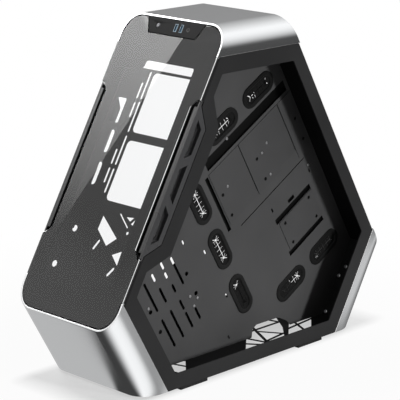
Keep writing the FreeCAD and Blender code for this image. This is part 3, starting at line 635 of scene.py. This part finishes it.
def vent_with_lip(node, side):
    """The vent with the stepped lip moulded along its front edge: a bar beside the glass and a
    thinner one behind it. Each has six flat faces, its corners given by half its length along the
    slope, its two depths behind the glass face and its two distances across the case, on the side
    that the sign names."""
    mesh = merged(node)
    work = bmesh.new()
    work.from_mesh(mesh)
    for depths, distances in LIP_BARS:
        s, t, x = np.meshgrid((-LIP_HALF, LIP_HALF), depths, distances, indexing="ij")
        corners = GLASS_MIDDLE + s[..., None] * UP_SLOPE - t[..., None] * GLASS_OUT
        corners[..., 0] = side * x
        made = [work.verts.new(corner) for corner in corners.reshape(-1, 3).tolist()]
        for face in BAR_FACES:
            work.faces.new([made[corner] for corner in face])
    bmesh.ops.recalc_face_normals(work, faces=work.faces)
    work.to_mesh(mesh)
    work.free()
    return mesh


vent_grey = vent_coat()
for node, side in (("right_side_vent", 1), ("left_side_vent", -1)):
    soft_edges(node, vent_grey, VENT_EDGE, mesh=vent_with_lip(node, side))

# Front frame: the moulded black carrier that the glass is stuck to.
# It is clipped between the side frames and leaves the fans one tall opening. Its edges have the
# tone of the side frames.
CARRIER_BLACK = (0.005, 0.005, 0.0055)
carrier_black = powder_coat("carrier_black", CARRIER_BLACK, bump=0.0, specular=0.0)
retoned(carrier_black.node_tree, sideways(carrier_black.node_tree), RING_BLACK)
dress(carrier_black, "front_frame")

# Connection strip: a moulded housing in a notch of the glass, with a jack, two data sockets and
# the button. The sockets are folded steel shells round blue plastic tongues, and the jack is a
# grey plastic ring.
STRIP_BLACK = (0.012, 0.012, 0.0125)
SOCKET_BLUE = (0.22, 0.45, 0.66)
SOCKET_STEEL = (0.25, 0.31, 0.35)
JACK_GREY = (0.170, 0.167, 0.164)
STRIP_EDGE = 0.0004
strip_black = powder_coat("strip_black", STRIP_BLACK, shine=0.5, specular=0.12)
soft_edges("strip_housing", strip_black, STRIP_EDGE)
jack_grey = powder_coat("jack_grey", JACK_GREY, shine=0.4, grain=FINE_GRAIN, specular=0.4)
soft_edges("audio_jack", jack_grey, STRIP_EDGE)
socket_blue = powder_coat("socket_blue", SOCKET_BLUE, shine=0.35, grain=FINE_GRAIN, specular=0.5)
dress(socket_blue, "data_socket_tongues")
dress(turned_metal("socket_steel", SOCKET_STEEL, 0.25), "data_socket_shells")

# Power button: a short turned metal plunger that slides in the strip against a spring.
# Its face is stepped and its edges are broken.
BUTTON_STEEL = (0.10, 0.10, 0.105)
BUTTON_EDGE = 0.0003
button_steel = turned_metal("button_steel", BUTTON_STEEL, 0.35)
soft_edges("power_button", button_steel, BUTTON_EDGE, body="button")

# Front glass: one tempered pane, faintly grey, stuck to the front frame.
# Its edges are ground dark. A narrow chamfer, polished along both sides, mirrors the light as a
# thin pale line.
GLASS_TINT = (0.95, 0.955, 0.96)
GLASS_BEND = 1.5
POLISH = (0.79, 0.80, 0.80)
GROUND_EDGE = (0.026, 0.026, 0.0265)
CHAMFER_BLACK = (0.003, 0.003, 0.003)
GLASS_CHAMFER = 0.0010
# Half widths of the masks, each with the fade past it.
POLISHED_BEYOND = (0.1110, 0.0004)
POLISHED_HALF = (0.121, 0.001)
POLISHED_REACH = (0.219, 0.004)
CUT_FACING = 0.5
glass = bpy.data.materials.new("front_glass")
glass.use_nodes = True
pane = glass.node_tree.nodes["Principled BSDF"]
pane.inputs["Base Color"].default_value = (*GLASS_TINT, 1.0)
pane.inputs["Roughness"].default_value = 0.0
pane.inputs["IOR"].default_value = GLASS_BEND
pane.inputs["Transmission Weight"].default_value = 1.0
polished = turned_metal("polished_glass_edge", POLISH, 0.2)
tree = polished.node_tree
place = object_place(tree)
up_slope = distance_along(tree, place, UP_SLOPE)
middle = UP_SLOPE @ GLASS_MIDDLE
inside = within(tree, apart(tree, place)["X"], 0.0, *POLISHED_BEYOND)
past_notch = inverse(tree, within(tree, up_slope, middle, *POLISHED_HALF))
past_sides = inverse(tree, within(tree, up_slope, middle, *POLISHED_REACH))
unpolished = joined(tree, "MAXIMUM", joined(tree, "MULTIPLY", inside, past_notch), past_sides)
retoned(tree, unpolished, CHAMFER_BLACK)
pane_mesh = soft_edges("front_glass", glass, GLASS_CHAMFER, edge=polished,
                       steps=1, clamp=False).data
ground = powder_coat("ground_glass_edge", GROUND_EDGE, shine=0.5, specular=0.12)
pane_mesh.materials.append(ground)
ways = np.empty(len(pane_mesh.polygons) * 3)
pane_mesh.polygons.foreach_get("normal", ways)
cut_faces = np.abs(ways.reshape(-1, 3) @ GLASS_OUT) < CUT_FACING
finish = np.where(cut_faces, len(pane_mesh.materials) - 1, 0)
pane_mesh.polygons.foreach_set("material_index", finish)

# Corner caps: thick aluminium sheet bent over each cut corner, satin anodised, with bright milled
# edges. A cap is one channel section carried between the two long sides that cut it off.
CAP_METAL = (0.74, 0.75, 0.76)
CAP_EDGE = (0.92, 0.92, 0.92)
CAP_SHINE = 0.2
EDGE_SHINE = 0.18
STREAK_SWING = 0.02
STREAK_SCALE = (6.0, 700.0, 700.0)
STREAK_DETAIL = 3.0
CAP_SHORT = 0.143
CAP_RADIUS = 0.036
CAP_WRAP = 0.0468
CAP_SHEET = 0.003
CAP_BEVEL = 0.0007
CAP_SHARP = math.radians(40)
CAP_ARC_STEPS = 28
SUPPLY_WINDOW = (-0.0195, 0.110, 0.0661, 0.008)
WINDOW_ARC_STEPS = 7
CAPS = (("top_cap", 90, None), ("nose_cap", 210, None), ("tail_cap", 330, SUPPLY_WINDOW))
TRIANGLE_SIDE = 0.806
half_width = max(abs(cad_box[0][0]), abs(cad_box[1][0]))
centre_up = TRIANGLE_SIDE / (2 * math.sqrt(3)) + BOARD_FLOOR[2]
corner_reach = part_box("top_cap")[1][2] - centre_up


def satin_metal(name, tone, shine):
    """Satin anodised sheet: long fine streaks across the case change the shine a little."""
    made = bpy.data.materials.new(name)
    made.use_nodes = True
    tree = made.node_tree
    shader = tree.nodes["Principled BSDF"]
    shader.inputs["Metallic"].default_value = 1.0
    shader.inputs["Base Color"].default_value = (*tone, 1.0)
    place = tree.nodes.new("ShaderNodeTexCoord")
    stretch = tree.nodes.new("ShaderNodeMapping")
    stretch.inputs["Scale"].default_value = STREAK_SCALE
    streak = tree.nodes.new("ShaderNodeTexNoise")
    streak.inputs["Scale"].default_value = 1.0
    streak.inputs["Detail"].default_value = STREAK_DETAIL
    spread = tree.nodes.new("ShaderNodeMapRange")
    spread.inputs["To Min"].default_value = shine - STREAK_SWING
    spread.inputs["To Max"].default_value = shine + STREAK_SWING
    tree.links.new(place.outputs["Object"], stretch.inputs["Vector"])
    tree.links.new(stretch.outputs["Vector"], streak.inputs["Vector"])
    tree.links.new(streak.outputs["Fac"], spread.inputs["Value"])
    tree.links.new(spread.outputs["Result"], shader.inputs["Roughness"])
    return made


def corner_cap(name, turn, window=None):
    """Section (x, depth): two quarter arcs of CAP_RADIUS joined by a flat, then straight flanges
    down to CAP_WRAP. The inner skin is the section moved in by CAP_SHEET along its normal. A point
    at a depth runs along the cut corner from -h to h, with h = CAP_SHORT / 2 + depth / sqrt(3),
    because the long sides meet it at 120 degrees. A window (centre, width, height, radius) leaves
    a rounded hole in the flat."""
    sweep = np.linspace(0.0, np.pi / 2, CAP_ARC_STEPS)
    flat = half_width - CAP_RADIUS
    x = np.concatenate([flat + CAP_RADIUS * np.sin(sweep), [half_width]])
    depth = np.concatenate([CAP_RADIUS - CAP_RADIUS * np.cos(sweep), [CAP_WRAP]])
    normal_x = np.concatenate([np.sin(sweep), [1.0]])
    normal_d = np.concatenate([-np.cos(sweep), [0.0]])
    x = np.concatenate([-x[::-1], x])
    depth = np.concatenate([depth[::-1], depth])
    normal_x = np.concatenate([-normal_x[::-1], normal_x])
    normal_d = np.concatenate([normal_d[::-1], normal_d])
    inner_x = x - CAP_SHEET * normal_x
    inner_d = depth - CAP_SHEET * normal_d
    count = len(x)

    def run(d):
        return CAP_SHORT / 2 + d / math.sqrt(3)

    rings = [(x, -run(depth), depth), (x, run(depth), depth),
             (inner_x, run(inner_d), inner_d), (inner_x, -run(inner_d), inner_d)]
    points = np.concatenate([np.stack(ring, axis=1) for ring in rings])
    faces = []
    first = np.arange(count - 1)
    middle = count // 2 - 1
    for ring in range(4):
        start = ring * count
        beside = ((ring + 1) % 4) * count
        kept = first if window is None or ring in (1, 3) else first[first != middle]
        faces.append(np.stack([start + kept, start + kept + 1,
                               beside + kept + 1, beside + kept], axis=1))
    faces = np.concatenate(faces).tolist()
    for end, order in ((0, 1), (count - 1, -1)):
        faces.append([end, count + end, 2 * count + end, 3 * count + end][::order])
    if window is not None:
        centre, wide, tall, radius = window
        quarters = np.array([(1, 1, 0.0), (-1, 1, 0.5), (-1, -1, 1.0), (1, -1, 1.5)])
        side_x, side_y, start = quarters.T[..., None]
        angle = np.linspace(0.0, np.pi / 2, WINDOW_ARC_STEPS) + start * np.pi
        edge_x = centre + side_x * (wide / 2 - radius) + radius * np.cos(angle)
        edge_y = side_y * (tall / 2 - radius) + radius * np.sin(angle)
        steps = angle.size
        base = len(points)
        for level in (0.0, CAP_SHEET):
            edge = np.stack([edge_x.ravel(), edge_y.ravel(), np.full(steps, level)], axis=1)
            points = np.concatenate([points, edge])
        outer = [middle + 1 + count, middle + count, middle, middle + 1]
        inner = [middle + 1 + 2 * count, middle + 2 * count,
                 middle + 3 * count, middle + 1 + 3 * count]
        per = steps // 4
        for side in range(4):
            part = [(side * per + per // 2 + i) % steps for i in range(per + 1)]
            faces.append([outer[side], outer[(side + 1) % 4]] + [base + i for i in part[::-1]])
            faces.append([inner[(side + 1) % 4], inner[side]] + [base + steps + i for i in part])
        ring = np.arange(steps)
        after = (ring + 1) % steps
        faces += np.stack([base + ring, base + steps + ring,
                           base + steps + after, base + after], axis=1).tolist()
    out = np.array([0.0, math.cos(turn), math.sin(turn)])
    way = np.array([0.0, math.sin(turn), -math.cos(turn)])
    inward = corner_reach - points[:, 2:3]
    placed = points[:, :1] * ACROSS + points[:, 1:2] * way + inward * out
    placed[:, 2] += centre_up
    mesh = bpy.data.meshes.new(name)
    mesh.from_pydata(placed.tolist(), [], faces)
    closed(mesh)
    mesh.shade_smooth()
    return mesh


cap_metal = satin_metal("cap_satin", CAP_METAL, CAP_SHINE)
cap_edge = satin_metal("cap_milled_edge", CAP_EDGE, EDGE_SHINE)
for node, degrees, hole in CAPS:
    shell = corner_cap(node + "_shell", math.radians(degrees), hole)
    shell.materials.append(cap_metal)
    shell.materials.append(cap_edge)
    bevelled(stand_for(shell, node), CAP_BEVEL, 2, CAP_SHARP, finish=1)

# Feet: moulded rubber blocks under the floor, wider at the tread.
# Their edges are rounded as a mould leaves them.
FOOT_RUBBER = (0.016, 0.016, 0.016)
FOOT_EDGE = 0.0012
foot_rubber = powder_coat("foot_rubber", FOOT_RUBBER, shine=0.8, grain=400.0)
soft_edges("feet", foot_rubber, FOOT_EDGE, steps=3)

# Studio: a round pale paper floor that fades to white, a tent of light and three soft panels.
# In the metal, the paper shows the wedge of shade that the case throws forward of its nose, and
# the bright paper beside it. The tent is brightest above and to the right, and dark at the ground.
FLOOR_PALE = (0.74, 0.74, 0.74)
FLOOR_ROUGH = 0.9
FLOOR_RADIUS = 1.5
FLOOR_STEPS = 96
WHITE = (1.0, 1.0, 1.0, 1.0)
WHITE_AROUND = 0.95
WHITE_UNDER = 0.55
WHITE_NEAR = (0.35, 0.45)
UNDER_ACROSS = (0.10, 0.03)
UNDER_ALONG = (0.30, 0.06)
# Where the shade starts, and levels by the angle round it or round the sky.
NOSE_FOOT = (0.098, -0.245)
PAPER_GLOSS = [(-180, 0.2), (-165, 0.16), (-150, 0.16), (-120, 0.06), (-14, 0.06), (-6, 0.13),
               (4, 0.3), (14, 0.58), (25, 0.92), (37, 1.15), (49, 1.25), (75, 1.22), (89, 1.17),
               (103, 0.98), (116, 0.62), (129, 0.36), (138, 0.42), (150, 0.7), (160, 0.74),
               (168, 0.74), (173, 0.52), (180, 0.2)]
PAPER_LEFT = (0.6, 0.6, 0.6, 1.0)
LEFT_FADE = (0.001, 0.1)
SHADE_EDGE = (0.050, -0.257)
SHADE_ACROSS = (0.628, -0.778)
SHADE_FADE = 0.008
PAPER_FAR = (0.8, 0.2)
PAPER_DARK = (0.02, 0.02, 0.02, 1.0)
TENT_GLOSS = [(-180, 0.02), (-110, 0.05), (-90, 0.25), (-69, 0.36), (-45, 0.54), (-21, 0.74),
              (3, 1.02), (27, 1.3), (39, 1.28), (51, 1.19), (63, 1.04), (75, 0.8), (85.5, 0.5),
              (94, 0.21), (103, 0.07), (130, 0.02), (180, 0.02)]
FRONT_GLOSS = [(-180, 0.02), (-96, 0.02), (-83, 0.3), (-75, 0.5), (-67, 1.45), (-65, 0.98),
               (-63.5, 0.93), (-60, 1.42), (-15, 1.42), (180, 1.42)]
FRONT_FADE = 0.3
TENT_FILL = (0.12, 0.12, 0.12, 1.0)
NO_BOUNCE = (0.4, 0.2)


def round_levels(tree, across, ahead, levels):
    """Brightness by the direction angle atan2(across, ahead), from (degrees, level) pairs."""
    turn = joined(tree, "ARCTAN2", across, ahead)
    span = tree.nodes.new("ShaderNodeMapRange")
    span.inputs["From Min"].default_value = -math.pi
    span.inputs["From Max"].default_value = math.pi
    ramp = tree.nodes.new("ShaderNodeValToRGB")
    tree.links.new(turn, span.inputs["Value"])
    tree.links.new(span.outputs["Result"], ramp.inputs["Fac"])
    while len(ramp.color_ramp.elements) < len(levels):
        ramp.color_ramp.elements.new(0.5)
    for element, (degrees, level) in zip(ramp.color_ramp.elements, levels):
        element.position = (degrees + 180) / 360
        element.color = (level, level, level, 1.0)
    return ramp.outputs["Color"]


def blended(tree, mask, one, two):
    """A colour between two by a mask."""
    choose = tree.nodes.new("ShaderNodeMix")
    choose.data_type = "RGBA"
    tree.links.new(mask, choose.inputs["Factor"])
    for source, side in ((one, "A"), (two, "B")):
        if isinstance(source, tuple):
            choose.inputs[side].default_value = source
        else:
            tree.links.new(source, choose.inputs[side])
    return choose.outputs["Result"]


def seen_straight(tree, path):
    """Mask of what the camera sees directly, or through the glass before any other bounce."""
    bounced = joined(tree, "ADD", path.outputs["Diffuse Depth"], path.outputs["Glossy Depth"])
    straight = below(tree, bounced, *NO_BOUNCE)
    clear = joined(tree, "MULTIPLY", path.outputs["Is Transmission Ray"], straight)
    return joined(tree, "MAXIMUM", path.outputs["Is Camera Ray"], clear)


def seen_mirrored(tree, path):
    """Mask of what a shiny surface mirrors. A ray through clear glass also counts as glossy, so it
    is left out."""
    reflected = inverse(tree, path.outputs["Is Transmission Ray"])
    return joined(tree, "MULTIPLY", path.outputs["Is Glossy Ray"], reflected)


turns = np.linspace(0.0, 2 * np.pi, FLOOR_STEPS, endpoint=False)
rim = FLOOR_RADIUS * np.stack([np.cos(turns), np.sin(turns), np.zeros(FLOOR_STEPS)], axis=1)
floor_mesh = bpy.data.meshes.new("studio_floor")
floor_mesh.from_pydata(rim.tolist(), [], [list(range(FLOOR_STEPS))])
studio_floor = bpy.data.objects.new("studio_floor", floor_mesh)
bpy.context.scene.collection.objects.link(studio_floor)
floor_look = bpy.data.materials.new("studio_floor")
floor_look.use_nodes = True
tree = floor_look.node_tree
paper = tree.nodes["Principled BSDF"]
paper.inputs["Base Color"].default_value = (*FLOOR_PALE, 1.0)
paper.inputs["Roughness"].default_value = FLOOR_ROUGH
seen = tree.nodes.new("ShaderNodeLightPath")
place = object_place(tree)
axes = apart(tree, place)
under = joined(tree, "MULTIPLY", within(tree, axes["X"], 0.0, *UNDER_ACROSS),
               within(tree, axes["Y"], 0.0, *UNDER_ALONG))
far_out = tree.nodes.new("ShaderNodeVectorMath")
far_out.operation = "LENGTH"
tree.links.new(place, far_out.inputs[0])
near_case = within(tree, far_out.outputs["Value"], 0.0, *WHITE_NEAR)
white_share = joined(tree, "MINIMUM", moved(tree, near_case, WHITE_AROUND - 1.0, 1.0),
                     moved(tree, under, WHITE_UNDER - 1.0, 1.0))
white_share = joined(tree, "MULTIPLY", white_share, seen_straight(tree, seen))
across = moved(tree, axes["X"], 1.0, -NOSE_FOOT[0])
ahead = moved(tree, axes["Y"], -1.0, NOSE_FOOT[1])
mirrored_paper = round_levels(tree, across, ahead, PAPER_GLOSS)
edge_x = moved(tree, axes["X"], SHADE_ACROSS[0], -SHADE_EDGE[0] * SHADE_ACROSS[0])
edge_y = moved(tree, axes["Y"], SHADE_ACROSS[1], -SHADE_EDGE[1] * SHADE_ACROSS[1])
past_edge = joined(tree, "ADD", edge_x, edge_y)
left_of_shade = below(tree, past_edge, -SHADE_FADE / 2, SHADE_FADE)
for mask in (below(tree, axes["X"], NOSE_FOOT[0], LEFT_FADE[0]),
             below(tree, axes["Y"], 0.0, LEFT_FADE[1])):
    left_of_shade = joined(tree, "MULTIPLY", left_of_shade, mask)
mirrored_paper = blended(tree, left_of_shade, mirrored_paper, PAPER_LEFT)
near_by = within(tree, far_out.outputs["Value"], 0.0, *PAPER_FAR)
mirrored_paper = blended(tree, near_by, PAPER_DARK, mirrored_paper)
mirrors = seen_mirrored(tree, seen)
bright = tree.nodes.new("ShaderNodeEmission")
tree.links.new(blended(tree, mirrors, WHITE, mirrored_paper), bright.inputs["Color"])
mixed = tree.nodes.new("ShaderNodeMixShader")
tree.links.new(joined(tree, "MAXIMUM", white_share, mirrors), mixed.inputs["Fac"])
tree.links.new(paper.outputs["BSDF"], mixed.inputs[1])
tree.links.new(bright.outputs["Emission"], mixed.inputs[2])
tree.links.new(mixed.outputs["Shader"], tree.nodes["Material Output"].inputs["Surface"])
studio_floor.data.materials.append(floor_look)

world = bpy.data.worlds.new("studio")
bpy.context.scene.world = world
world.use_nodes = True
sky = world.node_tree
aim = apart(sky, sky.nodes.new("ShaderNodeTexCoord").outputs["Generated"])
rear_tent = round_levels(sky, aim["X"], aim["Z"], TENT_GLOSS)
flat_x = joined(sky, "MULTIPLY", aim["X"], aim["X"])
flat_y = joined(sky, "MULTIPLY", aim["Y"], aim["Y"])
level_run = sky.nodes.new("ShaderNodeMath")
level_run.operation = "SQRT"
sky.links.new(joined(sky, "ADD", flat_x, flat_y), level_run.inputs[0])
outward = moved(sky, level_run.outputs["Value"], -1.0, 0.0)
front_tent = round_levels(sky, outward, aim["Z"], FRONT_GLOSS)
tent = blended(sky, below(sky, aim["Y"], 0.0, FRONT_FADE), rear_tent, front_tent)
path = sky.nodes.new("ShaderNodeLightPath")
lit = blended(sky, seen_mirrored(sky, path), TENT_FILL, tent)
backdrop = blended(sky, seen_straight(sky, path), lit, WHITE)
sky.links.new(backdrop, sky.nodes["Background"].inputs["Color"])


def light_panel(name, centre, toward, upright, wide, tall, power):
    """Rectangular soft light at a centre, facing a direction, its tall side along the upright
    direction. It lights matt surfaces only: shiny ones mirror the tent, the paper and the card."""
    lamp = bpy.data.lights.new(name, "AREA")
    lamp.shape = "RECTANGLE"
    lamp.size = wide
    lamp.size_y = tall
    lamp.energy = power
    made = bpy.data.objects.new(name, lamp)
    face = -Vector(toward).normalized()
    up = Vector(upright)
    up = (up - face * up.dot(face)).normalized()
    right = up.cross(face)
    turn = Matrix((right, up, face)).transposed().to_4x4()
    made.matrix_world = Matrix.Translation(Vector(centre)) @ turn
    made.visible_glossy = False
    made.visible_transmission = False
    bpy.context.scene.collection.objects.link(made)


light_panel("rear_panel", centre=(0.6, 1.5, 1.9), toward=(-0.35, -0.6, -0.72),
            upright=(1.0, 0.0, 0.0), wide=1.0, tall=2.2, power=14.0)
light_panel("side_panel", centre=(2.5, 0.25, 0.55), toward=(-1.0, -0.09, -0.1),
            upright=(0.0, 0.0, 1.0), wide=0.30, tall=0.30, power=43.0)
light_panel("left_panel", centre=(-2.2, 0.7, 0.9), toward=(1.0, -0.25, -0.3),
            upright=(0.0, 0.0, 1.0), wide=1.2, tall=1.2, power=40.0)

# Light card: the white board at the left that the glass mirrors as a pale zone, straight edged.
# It is bright at its upper end and fades at its foot, and only shiny surfaces see it.
GLASS_BOUNCE = Vector((-0.701, -0.507, 0.501))
EDGE_LINE = Vector((0.291, 0.470, 0.834))
EDGE_MIDDLE = Vector((-1.256, -1.033, 1.394))
CARD_WIDE = 1.0
CARD_TALL = 1.3
CARD_RISE = 0.1
CARD_FOOT = -0.58
CARD_HEAD = -0.05
CARD_BRIGHT = 6.1
CARD_DIM = 1.25
card_left = GLASS_BOUNCE.cross(EDGE_LINE).normalized()
card_centre = EDGE_MIDDLE + card_left * (CARD_WIDE / 2) + EDGE_LINE * CARD_RISE
card_corners = [card_centre + card_left * (a * CARD_WIDE / 2) + EDGE_LINE * (b * CARD_TALL / 2)
                for a, b in ((-1, -1), (1, -1), (1, 1), (-1, 1))]
card_mesh = bpy.data.meshes.new("light_card")
card_mesh.from_pydata(card_corners, [], [(0, 1, 2, 3)])
light_card = bpy.data.objects.new("light_card", card_mesh)
bpy.context.scene.collection.objects.link(light_card)
light_card.visible_camera = False
light_card.visible_diffuse = False
light_card.visible_transmission = False
light_card.visible_shadow = False
card_look = bpy.data.materials.new("light_card")
card_look.use_nodes = True
tree = card_look.node_tree
tree.nodes.remove(tree.nodes["Principled BSDF"])
rise = distance_along(tree, object_place(tree), EDGE_LINE)
fade = tree.nodes.new("ShaderNodeMapRange")
fade.inputs["From Min"].default_value = EDGE_LINE.dot(card_centre) + CARD_FOOT
fade.inputs["From Max"].default_value = EDGE_LINE.dot(card_centre) + CARD_HEAD
fade.inputs["To Min"].default_value = CARD_DIM
fade.inputs["To Max"].default_value = CARD_BRIGHT
tree.links.new(rise, fade.inputs["Value"])
glow = tree.nodes.new("ShaderNodeEmission")
tree.links.new(fade.outputs["Result"], glow.inputs["Strength"])
tree.links.new(glow.outputs["Emission"], tree.nodes["Material Output"].inputs["Surface"])
light_card.data.materials.append(card_look)

# Camera: the photograph's angle, a long lens about three metres away.
# It was fitted to the outline and to points on the glass, the tray and the caps.
AZIMUTH = math.radians(44.2321)
ELEVATION = math.radians(14.8053)
ROLL = math.radians(0.2692)
DISTANCE = 3.0167
FOCAL_PIXELS = 1800.41
IMAGE_PIXELS = 400.0
SENSOR_WIDE = 36.0
AIM_POINT = Vector((0.0, -0.0188, 0.2661))
flat_run = math.cos(ELEVATION)
backward = Vector((math.sin(AZIMUTH) * flat_run, -math.cos(AZIMUTH) * flat_run,
                   math.sin(ELEVATION)))
level = Vector((0.0, 0.0, 1.0)).cross(backward).normalized()
upward = backward.cross(level)
right = math.cos(ROLL) * level + math.sin(ROLL) * upward
upward = -math.sin(ROLL) * level + math.cos(ROLL) * upward
lens = bpy.data.cameras.new("camera")
lens.sensor_width = SENSOR_WIDE
lens.lens = SENSOR_WIDE * FOCAL_PIXELS / IMAGE_PIXELS
camera = bpy.data.objects.new("camera", lens)
turn = Matrix((right, upward, backward)).transposed().to_4x4()
camera.matrix_world = Matrix.Translation(AIM_POINT + backward * DISTANCE) @ turn
bpy.context.scene.collection.objects.link(camera)
bpy.context.scene.camera = camera
bpy.context.scene.view_settings.view_transform = "Standard"
